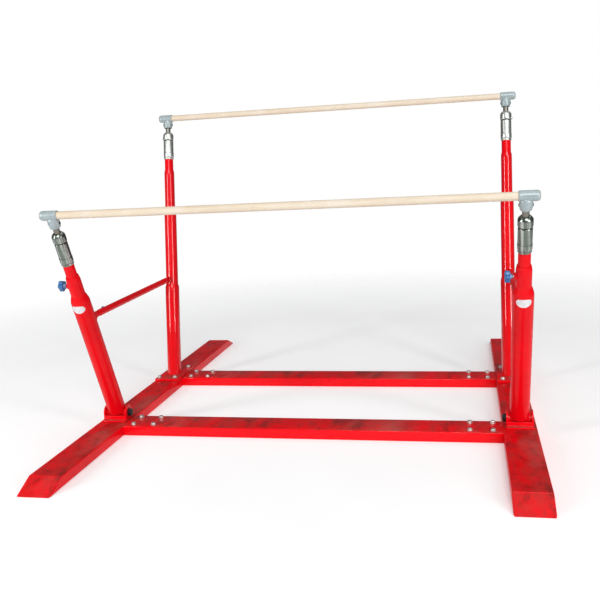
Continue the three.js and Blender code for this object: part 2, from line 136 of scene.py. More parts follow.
def turned(bm, profile, sides=64, matrix=Matrix(), closed=False, reach=None):
    """A body of revolution about Z from (radius, height) pairs; a closed profile makes a tube."""
    part = bmesh.new()
    rings = [ring(part, radius, height, sides, reach) for radius, height in profile]
    for low, high in zip(rings, rings[1:]):
        bridge(part, low, high)
    if closed:
        bridge(part, rings[-1], rings[0])
    else:
        for end in (rings[0], rings[-1]):
            if len(end) > 1:
                part.faces.new(end)
    merge(bm, part, matrix)


def rounded(profile, radius, steps=3):
    """The same profile with its inner corners rounded."""
    points = [Vector(p) for p in profile]
    out = [points[0]]
    for before, corner, after in zip(points, points[1:], points[2:]):
        back = before - corner
        ahead = after - corner
        trim = min(radius, back.length * 0.45, ahead.length * 0.45)
        start = corner + back.normalized() * trim
        end = corner + ahead.normalized() * trim
        for i in range(steps + 1):
            t = i / steps
            out.append(start.lerp(corner, t).lerp(corner.lerp(end, t), t))
    out.append(points[-1])
    return [tuple(p) for p in out]


def along_x(x=0.0, y=0.0, z=0.0, flip=False):
    """Turns a Z body of revolution so that it runs along +X, or along -X when flipped."""
    return Matrix.Translation((x, y, z)) @ Matrix.Rotation(math.radians(-90 if flip else 90), 4, "Y")


def yz_plane(x):
    """Lays a prism's outline in the Y-Z plane and extrudes it along +X from x."""
    swap = Matrix(((0, 0, 1, 0), (1, 0, 0, 0), (0, 1, 0, 0), (0, 0, 0, 1)))
    return Matrix.Translation((x, 0, 0)) @ swap


def prism(bm, outline, depth, matrix, bevel=0.0, segments=2, corners=False):
    """Extrudes an outline along Z and rounds its rims, and its upright edges too with corners set."""
    part = bmesh.new()
    low = [part.verts.new((a, b, 0)) for a, b in outline]
    high = [part.verts.new((a, b, depth)) for a, b in outline]
    rims = [part.faces.new(low[::-1]), part.faces.new(high)]
    bridge(part, low, high)
    if bevel:
        edges = part.edges[:] if corners else list({edge for face in rims for edge in face.edges})
        bmesh.ops.bevel(part, geom=edges, offset=bevel, segments=segments, profile=0.5, affect="EDGES")
    merge(bm, part, matrix)


def block(bm, low, high, bevel=0.0, segments=2):
    """A box between two corners with all its edges rounded."""
    (x0, y0, z0), (x1, y1, z1) = low, high
    outline = [(x0, y0), (x1, y0), (x1, y1), (x0, y1)]
    prism(bm, outline, z1 - z0, Matrix.Translation((0, 0, z0)), bevel, segments, corners=True)


def hex_head(bm, radius, low, high, matrix):
    """A hexagon head with its top chamfered down to a circle."""
    def hexagon(angle):
        """How far a hexagon reaches at an angle, as a share of its corner radius."""
        return math.cos(math.pi / 6) / math.cos((angle % (math.pi / 3)) - math.pi / 6)

    part = bmesh.new()
    flat = radius * math.cos(math.pi / 6)
    sides = 36
    loops = [
        ring(part, radius, low, sides, lambda r, a: r * hexagon(a)),
        ring(part, radius, high - 2.0, sides, lambda r, a: min(r * hexagon(a), flat * 1.06)),
        ring(part, radius, high, sides, lambda r, a: flat * 0.94),
    ]
    for a, b in zip(loops, loops[1:]):
        bridge(part, a, b)
    part.faces.new(loops[0])
    part.faces.new(loops[-1])
    merge(bm, part, matrix)


def weld_bead(bm, path, radius, seed, closed=False):
    """A rippled bead of weld along a path of points."""
    rng = random.Random(seed)
    part = bmesh.new()
    sides = 8
    count = len(path)
    loops = []
    for i, point in enumerate(path):
        ahead = Vector(path[(i + 1) % count] if closed else path[min(i + 1, count - 1)])
        behind = Vector(path[i - 1] if closed else path[max(i - 1, 0)])
        tangent = (ahead - behind).normalized()
        up = Vector((0, 0, 1))
        side = tangent.cross(up).normalized()
        far = radius * (1 + 0.16 * math.sin(i * 1.9) + rng.uniform(-0.08, 0.08))
        loop = []
        for k in range(sides):
            angle = 2 * math.pi * k / sides
            reach = side * math.cos(angle) + up * math.sin(angle)
            loop.append(part.verts.new(Vector(point) + reach * far))
        loops.append(loop)
    for a, b in zip(loops, loops[1:]):
        bridge(part, a, b)
    if closed:
        bridge(part, loops[-1], loops[0])
    else:
        part.faces.new(loops[0][::-1])
        part.faces.new(loops[-1])
    merge(bm, part, Matrix())


def circle_path(radius, height, count, tilt=0.0):
    """Points round Z whose height follows a plane tilted about X."""
    path = []
    for i in range(count):
        angle = 2 * math.pi * i / count
        x = radius * math.cos(angle)
        y = radius * math.sin(angle)
        path.append((x, y, height + y * math.tan(tilt)))
    return path


def cast(piece, voxel, soften):
    """Fuses a piece's shells into one skin with the soft fillets of a casting."""
    fuse = piece.modifiers.new("fuse", "REMESH")
    fuse.mode = "VOXEL"
    fuse.voxel_size = voxel
    fuse.use_smooth_shade = True
    relax = piece.modifiers.new("soften", "CORRECTIVE_SMOOTH")
    relax.use_only_smooth = True
    relax.factor = 0.6
    relax.iterations = soften


# ---- materials ------------------------------------------------------------

class Shader:
    """A Principled material with short helpers for its node tree."""

    def __init__(self, name, roughness, metallic=0.0):
        self.material = bpy.data.materials.new(name)
        self.material.use_nodes = True
        self.tree = self.material.node_tree
        self.bsdf = self.tree.nodes["Principled BSDF"]
        self.bsdf.inputs["Roughness"].default_value = roughness
        self.bsdf.inputs["Metallic"].default_value = metallic
        self.coords = self.add("ShaderNodeTexCoord").outputs["Object"]

    def add(self, kind, **settings):
        """Makes a node and sets its properties."""
        node = self.tree.nodes.new(kind)
        for key, value in settings.items():
            setattr(node, key, value)
        return node

    def link(self, a, b):
        self.tree.links.new(a, b)

    def stretched(self, scale):
        """Object coordinates scaled along each axis; a small factor draws a pattern out."""
        node = self.add("ShaderNodeMapping")
        node.inputs["Scale"].default_value = scale
        self.link(self.coords, node.inputs["Vector"])
        return node.outputs["Vector"]

    def noise(self, scale, detail=4.0, roughness=0.55, vector=None):
        """Soft noise over the object's own coordinates, or over a stretched copy of them."""
        node = self.add("ShaderNodeTexNoise")
        node.inputs["Scale"].default_value = scale
        node.inputs["Detail"].default_value = detail
        node.inputs["Roughness"].default_value = roughness
        self.link(vector or self.coords, node.inputs["Vector"])
        return node.outputs["Fac"]

    def curve(self, value, low, high, out_low=0.0, out_high=1.0):
        """Maps a socket's range from low..high to out_low..out_high, clamped."""
        node = self.add("ShaderNodeMapRange")
        node.inputs["From Min"].default_value = low
        node.inputs["From Max"].default_value = high
        node.inputs["To Min"].default_value = out_low
        node.inputs["To Max"].default_value = out_high
        self.link(value, node.inputs["Value"])
        return node.outputs["Result"]

    def multiply(self, a, b):
        node = self.add("ShaderNodeMath", operation="MULTIPLY")
        self.link(a, node.inputs[0])
        self.link(b, node.inputs[1])
        return node.outputs[0]

    def mix(self, amount, a, b):
        """Mixes two colours, each a socket or an RGB triple."""
        node = self.add("ShaderNodeMix", data_type="RGBA")
        self.link(amount, node.inputs["Factor"])
        for value, socket in ((a, node.inputs["A"]), (b, node.inputs["B"])):
            colour_socket = [s for s in node.inputs if s.name == socket.name and s.type == "RGBA"][0]
            if isinstance(value, tuple):
                colour_socket.default_value = (*value, 1)
            else:
                self.link(value, colour_socket)
        return [s for s in node.outputs if s.type == "RGBA"][0]

    def colour(self, socket):
        self.link(socket, self.bsdf.inputs["Base Color"])

    def rough(self, socket):
        self.link(socket, self.bsdf.inputs["Roughness"])

    def bump(self, *layers):
        """Stacks bumps; each layer is (height socket, strength, distance in metres)."""
        normal = None
        for height, strength, distance in layers:
            node = self.add("ShaderNodeBump")
            node.inputs["Strength"].default_value = strength
            node.inputs["Distance"].default_value = distance
            self.link(height, node.inputs["Height"])
            if normal is not None:
                self.link(normal, node.inputs["Normal"])
            normal = node.outputs["Normal"]
        self.link(normal, self.bsdf.inputs["Normal"])


def facing_up(shader, low=0.6, high=0.95):
    """1 on faces that look up and 0 on upright ones."""
    geometry = shader.add("ShaderNodeNewGeometry")
    split = shader.add("ShaderNodeSeparateXYZ")
    shader.link(geometry.outputs["Normal"], split.inputs["Vector"])
    return shader.curve(split.outputs["Z"], low, high)


def red_paint(name, dirt_and_shading, gloss):
    """Gloss enamel on steel: slight orange peel, uneven depth of colour; on upward faces a dusty film with a
    painted sheen, dirty patches with painted shade, and pale worn patches.
    """
    shader = Shader(name, 0.42)
    shader.bsdf.inputs["Coat Weight"].default_value = gloss
    shader.bsdf.inputs["Coat Roughness"].default_value = 0.07
    shader.bsdf.inputs["Specular IOR Level"].default_value = 0.05
    broad = shader.noise(2.3, 3.0)
    fine = shader.noise(38.0, 6.0, 0.65)
    base = shader.mix(shader.curve(broad, 0.35, 0.68), (0.68, 0.0008, 0.0045), (0.84, 0.0014, 0.0075))
    base = shader.mix(shader.curve(fine, 0.45, 0.80, 0.0, 0.25), base, (0.42, 0.0015, 0.004))
    # Upward faces only: a dusty film with a painted sheen, dirty patches with painted shade, and pale worn
    # patches.
    up_faces = facing_up(shader)
    streaks = shader.noise(6.0, 9.0, 0.72, shader.stretched((1.0, 0.35, 1.0)))
    # Dusty film, together with a dull pinkish painted sheen on upward faces.
    dust_and_sheen = shader.multiply(shader.curve(streaks, 0.42, 0.66, 0.0, dirt_and_shading), up_faces)
    base = shader.mix(dust_and_sheen, base, (0.26, 0.034, 0.026))
    dark_patches = shader.noise(11.0, 9.0, 0.75, shader.stretched((1.0, 0.45, 1.0)))
    # Dirty patches, together with painted shade that darkens upward faces.
    dirt_and_shade = shader.multiply(shader.curve(dark_patches, 0.50, 0.66, 0.0, dirt_and_shading), up_faces)
    base = shader.mix(dirt_and_shade, base, (0.17, 0.010, 0.010))
    worn = shader.noise(3.4, 5.0, 0.6, shader.stretched((1.0, 0.6, 1.0)))
    film = shader.multiply(shader.curve(worn, 0.52, 0.70, 0.0, 0.5 * dirt_and_shading), up_faces)
    base = shader.mix(film, base, (0.40, 0.14, 0.12))
    shader.colour(base)
    shader.rough(shader.curve(fine, 0.2, 0.8, 0.34, 0.52))
    peel = shader.noise(420.0, 2.0)
    waves = shader.noise(16.0, 2.0)
    shader.bump((waves, 0.20, 0.0012), (peel, 0.06, 0.0002))
    return shader.material


def plated_steel(name, bright, dull, roughness):
    """Nickel plate on turned steel: long upright bands between a lighter and a darker colour that are painted
    reflections, blotches, and fine turning lines; the greenish darker colour is a painted dark reflection.
    """
    shader = Shader(name, roughness, 1.0)
    blotch = shader.noise(30.0, 6.0, 0.6)
    streaks = shader.noise(70.0, 3.0, 0.5, shader.stretched((1.0, 1.0, 0.05)))
    lines = shader.noise(30.0, 3.0, 0.5, shader.stretched((0.6, 0.6, 26.0)))
    # Long upright bands between the lighter and the darker colour: painted reflections.
    base = shader.mix(shader.curve(streaks, 0.42, 0.60), dull, bright)
    base = shader.mix(shader.curve(blotch, 0.50, 0.75, 0.0, 0.5), base, dull)
    base = shader.mix(shader.curve(lines, 0.45, 0.75, 0.0, 0.25), base, tuple(0.6 * part for part in dull))
    shader.colour(base)
    shader.rough(shader.curve(blotch, 0.3, 0.7, roughness - 0.04, roughness + 0.06))
    shader.bump((lines, 0.03, 0.0001))
    return shader.material


def zinc_plate():
    """Bright zinc on the bolts, washers and studs."""
    shader = Shader("zinc_plate", 0.32, 0.9)
    grain = shader.noise(160.0, 5.0, 0.6)
    patch = shader.noise(30.0, 3.0)
    base = shader.mix(shader.curve(patch, 0.35, 0.65), (0.60, 0.59, 0.55), (0.83, 0.83, 0.80))
    base = shader.mix(shader.curve(grain, 0.5, 0.8, 0.0, 0.4), base, (0.42, 0.41, 0.38))
    shader.colour(base)
    shader.rough(shader.curve(grain, 0.2, 0.8, 0.24, 0.46))
    shader.bump((grain, 0.10, 0.0003))
    return shader.material


def bare_steel():
    """Oiled, slightly rusty steel of the stems."""
    shader = Shader("bare_steel", 0.38, 0.85)
    grain = shader.noise(140.0, 5.0, 0.6)
    rust = shader.noise(24.0, 5.0, 0.62)
    base = shader.mix(shader.curve(grain, 0.3, 0.7), (0.19, 0.18, 0.15), (0.29, 0.28, 0.24))
    base = shader.mix(shader.curve(rust, 0.52, 0.78, 0.0, 0.6), base, (0.16, 0.11, 0.065))
    shader.colour(base)
    shader.rough(shader.curve(rust, 0.3, 0.8, 0.28, 0.52))
    shader.bump((grain, 0.12, 0.0003))
    return shader.material


def hammered_grey():
    """Grey hammered enamel over sand castings."""
    shader = Shader("hammered_grey", 0.38, 0.15)
    shader.bsdf.inputs["Coat Weight"].default_value = 0.3
    shader.bsdf.inputs["Coat Roughness"].default_value = 0.2
    cells = shader.add("ShaderNodeTexVoronoi", feature="SMOOTH_F1")
    cells.inputs["Scale"].default_value = 230.0
    shader.link(shader.coords, cells.inputs["Vector"])
    blotch = shader.noise(34.0, 5.0, 0.6)
    dimple = shader.curve(cells.outputs["Distance"], 0.0, 0.7)
    rims = shader.curve(cells.outputs["Distance"], 0.25, 0.75, 0.0, 0.35)
    base = shader.mix(shader.curve(blotch, 0.35, 0.68), (0.33, 0.40, 0.415), (0.44, 0.51, 0.52))
    base = shader.mix(rims, base, (0.26, 0.32, 0.33))
    shader.colour(base)
    shader.rough(shader.curve(blotch, 0.3, 0.7, 0.30, 0.46))
    shader.bump((blotch, 0.15, 0.0012), (dimple, 0.35, 0.0006))
    return shader.material


def black_oxide():
    """Black oxide steel with light rubbing on its faces."""
    shader = Shader("black_oxide", 0.42, 0.6)
    grain = shader.noise(120.0, 5.0, 0.6)
    shader.colour(shader.mix(shader.curve(grain, 0.5, 0.8), (0.022, 0.022, 0.024), (0.085, 0.082, 0.078)))
    shader.rough(shader.curve(grain, 0.2, 0.8, 0.34, 0.55))
    shader.bump((grain, 0.15, 0.0003))
    return shader.material


def rail_wood():
    """Pale, sanded, unvarnished hardwood: long grain, growth bands, chalk and a few darker pores."""
    shader = Shader("rail_wood", 0.58)
    grain = shader.noise(60.0, 8.0, 0.62, shader.stretched((0.035, 1.0, 1.0)))
    bands = shader.noise(30.0, 4.0, 0.5, shader.stretched((0.02, 1.0, 1.0)))
    pores = shader.noise(420.0, 4.0, 0.6, shader.stretched((0.04, 1.0, 1.0)))
    chalk = shader.noise(5.0, 5.0, 0.6)
    base = shader.mix(shader.curve(bands, 0.35, 0.68), (0.68, 0.55, 0.40), (0.79, 0.69, 0.55))
    base = shader.mix(shader.curve(grain, 0.48, 0.75, 0.0, 0.55), base, (0.57, 0.42, 0.28))
    base = shader.mix(shader.curve(pores, 0.60, 0.74, 0.0, 0.5), base, (0.48, 0.33, 0.20))
    base = shader.mix(shader.curve(chalk, 0.45, 0.75, 0.0, 0.45), base, (0.84, 0.80, 0.74))
    shader.colour(base)
    shader.rough(shader.curve(chalk, 0.3, 0.8, 0.50, 0.72))
    shader.bump((grain, 0.18, 0.0005), (pores, 0.12, 0.0003))
    return shader.material


def moulded_plastic(name, dark, light):
    """Glossy moulded knob: slight flow marks and fine scratches."""
    shader = Shader(name, 0.28)
    shader.bsdf.inputs["Coat Weight"].default_value = 0.2
    flow = shader.noise(70.0, 4.0)
    fine = shader.noise(520.0, 3.0)
    shader.colour(shader.mix(shader.curve(flow, 0.3, 0.7), dark, light))
    shader.rough(shader.curve(flow, 0.2, 0.8, 0.22, 0.40))
    shader.bump((fine, 0.08, 0.0002), (flow, 0.08, 0.0005))
    return shader.material


def sticker_film():
    """Plain white vinyl, slightly yellowed and scuffed."""
    shader = Shader("sticker_film", 0.34)
    stain = shader.noise(45.0, 5.0, 0.6)
    shader.colour(shader.mix(shader.curve(stain, 0.4, 0.75), (0.73, 0.74, 0.76), (0.60, 0.61, 0.62)))
    shader.rough(shader.curve(stain, 0.3, 0.7, 0.26, 0.45))
    shader.bump((stain, 0.10, 0.0003))
    return shader.material


def floor_finish():
    """Matt white studio floor that fades out with distance."""
    shader = Shader("floor_finish", 0.75)
    shader.bsdf.inputs["Specular IOR Level"].default_value = 0.1
    cloud = shader.noise(1.6, 4.0)
    shader.colour(shader.mix(shader.curve(cloud, 0.3, 0.7), (0.90, 0.90, 0.90), (0.93, 0.93, 0.93)))
    shader.bsdf.inputs["Emission Color"].default_value = (1, 1, 1, 1)
    shader.bsdf.inputs["Emission Strength"].default_value = 0.16
    reach = shader.add("ShaderNodeVectorMath", operation="LENGTH")
    shader.link(shader.coords, reach.inputs[0])
    fade = shader.curve(reach.outputs["Value"], 2.6, 5.5)
    clear = shader.add("ShaderNodeBsdfTransparent")
    blend = shader.add("ShaderNodeMixShader")
    shader.link(fade, blend.inputs["Fac"])
    shader.link(shader.bsdf.outputs[0], blend.inputs[1])
    shader.link(clear.outputs[0], blend.inputs[2])
    shader.link(blend.outputs[0], shader.tree.nodes["Material Output"].inputs["Surface"])
    return shader.material


RED = red_paint("red_paint", 0.16, 0.28)
RED_GLOSSY = red_paint("red_paint_glossy", 0.10, 0.95)
# The base has the most dusty film, painted sheen, dirt and painted shade on its upward faces.
RED_BASE = red_paint("red_paint_base", 0.75, 0.28)
# The high sleeves get a lighter copy and the low sleeves a darker copy of one plating: painted light and
# painted shade.
PLATED = {
    "high": plated_steel("plated_steel_lit", (0.86, 0.88, 0.85), (0.56, 0.59, 0.55), 0.38),
    "low": plated_steel("plated_steel_shaded", (0.52, 0.55, 0.52), (0.17, 0.20, 0.17), 0.24),
}
ZINC = zinc_plate()
STEEL = bare_steel()
GREY = hammered_grey()
BLACK = black_oxide()
WOOD = rail_wood()
BLUE = moulded_plastic("knob_blue_plastic", (0.012, 0.085, 0.26), (0.030, 0.17, 0.42))
# A darker copy of the knob blue for the small strut grip: painted shade.
BLUE_SHADED = moulded_plastic("knob_shaded_blue_plastic", (0.020, 0.030, 0.13), (0.045, 0.065, 0.22))
# A lighter copy of the knob blue for the hub: painted highlight.
BLUE_LIT = moulded_plastic("knob_hub_lit_plastic", (0.10, 0.20, 0.42), (0.20, 0.32, 0.52))
FILM = sticker_film()


# ---- places taken from the frame ------------------------------------------

def middle(node):
    """The centre of a CAD node's box, in metres."""
    low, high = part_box(node)
    return (low + high) / 2


def leaning(x, pivot, axis):
    """A matrix at a pivot whose Z runs along a leaning axis of the Y-Z plane."""
    turn = Matrix.Rotation(math.atan2(-axis[1], axis[2]), 4, "X")
    return Matrix.Translation((x, pivot[1], pivot[2])) @ turn


BASE_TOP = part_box("side_base_left")[1].z
BEAM_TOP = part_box("crossbeam_front")[1].z
POST_X = abs(middle("low_rail").x - middle("low_hinge_pin_left").x)
LOW_PIVOT = JOINTS["low_posts_lean"]["pos_m"]
LOW_AXIS = JOINTS["low_height"]["axis"]
LOW_HEAD = JOINTS["low_bar_tilt"]["pos_m"]
HIGH_AXIS = JOINTS["high_height"]["axis"]
HIGH_HEAD = JOINTS["high_bar_tilt"]["pos_m"]
HIGH_LENGTH = (HIGH_HEAD[2] - BASE_TOP) / HIGH_AXIS[2]
HIGH_FOOT = (0, HIGH_HEAD[1] - HIGH_AXIS[1] * HIGH_LENGTH, BASE_TOP)
LOW_LENGTH = (LOW_HEAD[2] - LOW_PIVOT[2]) / LOW_AXIS[2]
LEVELS = {
    "high": {"pivot": HIGH_FOOT, "axis": HIGH_AXIS, "head": HIGH_HEAD, "length": HIGH_LENGTH / MM},
    "low": {"pivot": LOW_PIVOT, "axis": LOW_AXIS, "head": LOW_HEAD, "length": LOW_LENGTH / MM},
}


def in_post(level, point):
    """A world point as (across, along) a post of that level, in millimetres."""
    local = leaning(0, LEVELS[level]["pivot"], LEVELS[level]["axis"]).inverted() @ Vector(point)
    return local.y / MM, local.z / MM


# ---- base frame -----------------------------------------------------------

def side_base(name, side):
    """A closed bar whose ends are cut to a slope and capped, with a weld bead along each cap."""
    low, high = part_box(f"side_base_{name}")
    half_width = BASE_HALF_WIDTH
    half = (high.y - low.y) / 2 / MM
    top = BASE_TOP / MM
    outline = [(-half, 0), (half, 0), (half - BASE_WEDGE, top), (-half + BASE_WEDGE, top)]
    bm = bmesh.new()
    prism(bm, outline, 2 * half_width, yz_plane(-half_width), BASE_CORNER, 4, corners=True)
    cap = half - BASE_WEDGE
    for end in (-1, 1):
        path = [(a, end * (cap + 1.5), top - 1.2) for a in range(-80, 81, 5)]
        weld_bead(bm, path, 2.2, 11 + end)
    return finish_mesh(
        f"base_bar_{name}", bm, Matrix.Translation((side * POST_X, 0, 0)), RED_BASE, "base",
        [f"side_base_{name}"], 40,
    )


def crossbeam(name):
    """A flat bar with rounded edges that butts against both side bases."""
    low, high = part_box(f"crossbeam_{name}")
    y = (low.y + high.y) / 2
    half_length = (high.x - low.x) / 2 / MM
    half_width = (high.y - low.y) / 2 / MM
    bm = bmesh.new()
    block(bm, (-half_length, -half_width, 0), (half_length, half_width, BEAM_TOP / MM), 5.0, 4)
    return finish_mesh(
        f"crossbeam_bar_{name}", bm, Matrix.Translation((0, y, 0)), RED_BASE, "base",
        [f"crossbeam_{name}"], 40,
    )


def bolt_set(name, node, spacing, seat):
    """Four hex bolts with washers; seat is the height the washers lie on."""
    centre = middle(node)
    bm = bmesh.new()
    for i, (sx, sy) in enumerate(((-1, -1), (1, -1), (-1, 1), (1, 1))):
        place = Matrix.Translation((sx * spacing[0] / 2, sy * spacing[1] / 2, 0))
        turn = place @ Matrix.Rotation(math.radians(17 + 23 * i), 4, "Z")
        turned(bm, rounded([(0, 0.1), (16, 0.1), (16, 2.5), (0, 2.5)], 0.5, 2), 40, place)
        hex_head(bm, 14, 2.5, 12.0, turn)
        turned(bm, rounded([(0, -30), (8, -30), (8, 3.0), (0, 3.0)], 0.5, 1), 20, place)
    return finish_mesh(
        name, bm, Matrix.Translation((centre.x, centre.y, seat)), ZINC, "base", [node], 30,
    )


# ---- posts ----------------------------------------------------------------

def lug_outline(pin, radius, root, below, above, outward):
    """A lug that starts at root and ends in a round nose about its pin; outward is its direction, 1 or -1."""
    points = [(root, pin[1] - below * outward)]
    reach = outward * radius
    for i in range(17):
        angle = (i / 16 - 0.5) * math.pi
        points.append((pin[0] + reach * math.cos(angle), pin[1] + reach * math.sin(angle)))
    points.append((root, pin[1] + above * outward))
    return points


def lug_pair(bm, pin, root, below, above, outward):
    """Two lugs side by side with room for the strut's eye between them."""
    outline = lug_outline(pin, LUG["radius"], root, below, above, outward)
    for x in (-LUG["inner"] - LUG["thickness"], LUG["inner"]):
        prism(bm, outline, LUG["thickness"], yz_plane(x), 0.8)


def high_post(name, side):
    """A stepped tube welded to a bolted plate, with a pair of lugs for the strut."""
    tilt = math.atan2(HIGH_AXIS[1], HIGH_AXIS[2])
    profile = rounded([
        (47.5, 8), (47.5, 618), (41, 640), (41, 1123), (34, 1145), (34, 1412), (32, 1432), (29.5, 1432),
        (29.5, 1150), (37, 1118), (37, 644), (43, 612), (43, 8),
    ], 5, 3)
    bm = bmesh.new()
    turned(bm, profile, 96, closed=True)
    strut_pin = in_post("high", JOINTS[f"strut_{name}_swing"]["pos_m"])
    lug_pair(bm, strut_pin, -12, 20, 20, -1)
    weld_bead(bm, circle_path(48.6, PLATE_THICKNESS + 1.2, 90, tilt), 3.4, 5 + side, closed=True)
    half_width = POST_PLATE["half_width"]
    half_length = POST_PLATE["half_length"]
    flat = bmesh.new()
    block(flat, (-half_width, -half_length, GAP), (half_width, half_length, PLATE_THICKNESS + GAP), 1.6, 3)
    x = side * POST_X
    seat = Matrix.Translation((x, middle(f"high_post_bolts_{name}").y, BASE_TOP))
    finish_mesh(f"high_post_plate_{name}", flat, seat, RED_BASE, "base")
    return finish_mesh(
        f"high_post_tube_{name}", bm, leaning(x, HIGH_FOOT, HIGH_AXIS), RED_GLOSSY, "base",
        [f"high_post_{name}"],
    )


def low_post(name, side):
    """A stout tube on a hinge knuckle, necked to a collar at the top, with strut lugs and a clamp boss."""
    profile = rounded([
        (51, 20), (51, 790), (48, 805), (38, 835), (38, 925), (33.5, 949), (29.5, 949),
        (29.5, 830), (46, 792), (46, 20),
    ], 7, 4)
    bm = bmesh.new()
    turned(bm, profile, 96, closed=True)
    half = KNUCKLE["half"]
    bore = KNUCKLE["bore"]
    barrel = [(KNUCKLE["radius"], -half), (KNUCKLE["radius"], half), (bore, half), (bore, -half)]
    turned(bm, barrel, 48, along_x(), closed=True)
    strut_pin = in_post("low", STRUT_LOW)
    lug_pair(bm, strut_pin, 12, 75, 26, 1)
    boss = rounded([(0, 30), (19, 30), (19, 38), (15, 45.5), (0, 45.5)], 3, 3)
    turned(bm, boss, 40, along_x(0, 0, CLAMP_HEIGHT, flip=True))
    matrix = leaning(side * POST_X, LOW_PIVOT, LOW_AXIS)
    return finish_mesh(
        f"low_post_tube_{name}", bm, matrix, RED, "low_posts", [f"low_post_{name}"],
    )


def low_foot(name, side):
    """A U-shaped bracket: plate, two round-topped cheeks and a low front web, welded together."""
    z0 = (BASE_TOP - LOW_PIVOT[2]) / MM + GAP
    z1 = z0 + FOOT_PLATE["thickness"]
    half_width = FOOT_PLATE["half_width"]
    half_length = FOOT_PLATE["half_length"]
    front = -CHEEK["radius"]
    inner = CHEEK["inner"]
    outer = inner + CHEEK["thickness"]
    bm = bmesh.new()
    block(bm, (-half_width, -half_length, z0), (half_width, half_length, z1), 1.6, 3)
    outline = [(front, z1 - 1), (CHEEK["back"], z1 - 1)]
    for degrees in range(0, 181, 6):
        angle = math.radians(degrees)
        outline.append((CHEEK["radius"] * math.cos(angle), CHEEK["radius"] * math.sin(angle)))
    for x in (-outer, inner):
        prism(bm, outline, CHEEK["thickness"], yz_plane(x), 1.2)
    block(bm, (-inner - 1, front, z1 - 1), (inner + 1, front + CHEEK["web"], CHEEK["web_top"]), 1.0)
    for sign in (-1, 1):
        path = [(sign * outer, y, z1 + 0.8) for y in range(int(front), CHEEK["back"], 4)]
        weld_bead(bm, path, 2.4, 31 + side + 3 * sign)
    weld_bead(bm, [(x, front, z1 + 0.8) for x in range(-66, 67, 4)], 2.4, 41 + side)
    matrix = Matrix.Translation((side * POST_X, LOW_PIVOT[1], LOW_PIVOT[2]))
    return finish_mesh(
        f"low_foot_bracket_{name}", bm, matrix, RED_BASE, "base", [f"low_foot_{name}"],
    )


def hinge_pin(name, side):
    """A pivot bolt with its nut towards the middle of the frame and a flat button outside."""
    face = CHEEK["inner"] + CHEEK["thickness"] + GAP
    inward = along_x(flip=side > 0)
    outward = along_x(flip=side < 0)
    shank = rounded([(0, -face - 1), (12, -face - 1), (12, face + 21), (0, face + 21)], 1.5, 2)
    washer = rounded([(0, face), (24, face), (24, face + 3), (0, face + 3)], 0.6, 2)
    button = rounded([(0, face), (17, face), (15, face + 4), (0, face + 4)], 1.2, 2)
    bm = bmesh.new()
    turned(bm, shank, 32, inward)
    turned(bm, washer, 40, inward)
    hex_head(bm, 23.5, face + 3, face + 18, Matrix.Rotation(math.radians(11), 4, "X") @ inward)
    turned(bm, button, 40, outward)
    matrix = Matrix.Translation((side * POST_X, LOW_PIVOT[1], LOW_PIVOT[2]))
    return finish_mesh(
        f"foot_pin_{name}", bm, matrix, BLACK, "base", [f"low_hinge_pin_{name}"], 30,
    )


def inner_tube(level, name, side):
    """The tube that slides in a post and carries the sleeve."""
    bottom = INNER_BOTTOM[level]
    top = LEVELS[level]["length"] - INNER_TUBE["below_head"]
    radius, bore = INNER_TUBE["radius"], INNER_TUBE["bore"]
    profile = [(radius, bottom), (radius, top), (bore, top), (bore, bottom)]
    bm = bmesh.new()
    turned(bm, rounded(profile, 0.8, 2), 72, closed=True)
    matrix = leaning(side * POST_X, LEVELS[level]["pivot"], LEVELS[level]["axis"])
    return finish_mesh(
        f"{level}_tube_{name}", bm, matrix, RED, f"{level}_extension",
        [f"{level}_inner_{name}"],
    )


def head_matrix(level, side):
    """The head's hinge pin, with Z along the post."""
    return leaning(side * POST_X, LEVELS[level]["head"], LEVELS[level]["axis"])


def sleeve(level, name, side):
    """A plated sleeve: rolled lip below, plain body, groove, and a cap with a rounded shoulder."""
    bore = 29.3
    profile = [
        (bore, -240), (31, -240), (32.5, -237), (32.5, -231), (31.6, -229), (31.6, -226), (34.4, -222),
        (34.4, -196), (33.2, -192), (33.2, -113), (31.4, -111), (31.4, -106), (34.6, -104), (35.2, -98),
        (35.2, -74), (34.4, -69), (30, -62), (24, -55.5), (19.5, -54), (18.4, -56), (18.4, -81), (bore, -81),
    ]
    bm = bmesh.new()
    turned(bm, rounded(profile, 1.6, 3), 96, closed=True)
    if level == "high":  # a small boss on the outer side
        button = rounded([(0, 30), (9, 30), (9, 37.5), (6.5, 40.5), (0, 40.5)], 2.0, 3)
        turned(bm, button, 32, along_x(0, 0, -98, flip=side < 0))
    return finish_mesh(
        f"{level}_plated_sleeve_{name}", bm, head_matrix(level, side), PLATED[level], f"{level}_extension",
        [f"{level}_sleeve_{name}"],
    )


def painted_groove_shade(level, name, side):
    """A black ring in the sleeve's groove that stands in for the groove's shadow: painted shade."""
    shade_loop = rounded([(31.0, -111.5), (31.9, -111), (31.9, -105.8), (31.0, -105.3)], 0.3, 2)
    bm = bmesh.new()
    turned(bm, shade_loop, 72, closed=True)
    matrix = head_matrix(level, side)
    return finish_mesh(
        f"{level}_groove_shade_{name}", bm, matrix, BLACK, f"{level}_extension",
    )


def stem(level, name, side):
    """The rod that rises out of the sleeve to an eye between the head's walls."""
    profile = [
        (0, -90), (24, -90), (24, -82), (18, -82), (18, -60), (16.5, -52), (16.5, -24), (15.0, -18.6),
        (0, -18.6),
    ]
    bm = bmesh.new()
    turned(bm, rounded(profile, 1.5, 3), 64)
    outline = [(-14.5, -19.5), (14.5, -19.5)]
    for degrees in range(-30, 211, 10):
        angle = math.radians(degrees)
        outline.append((16 * math.cos(angle), 16 * math.sin(angle)))
    prism(bm, outline, 19.8, yz_plane(-9.9), 0.8)
    return finish_mesh(
        f"{level}_stem_rod_{name}", bm, head_matrix(level, side), STEEL, f"{level}_extension",
        [f"{level}_stem_{name}"],
    )


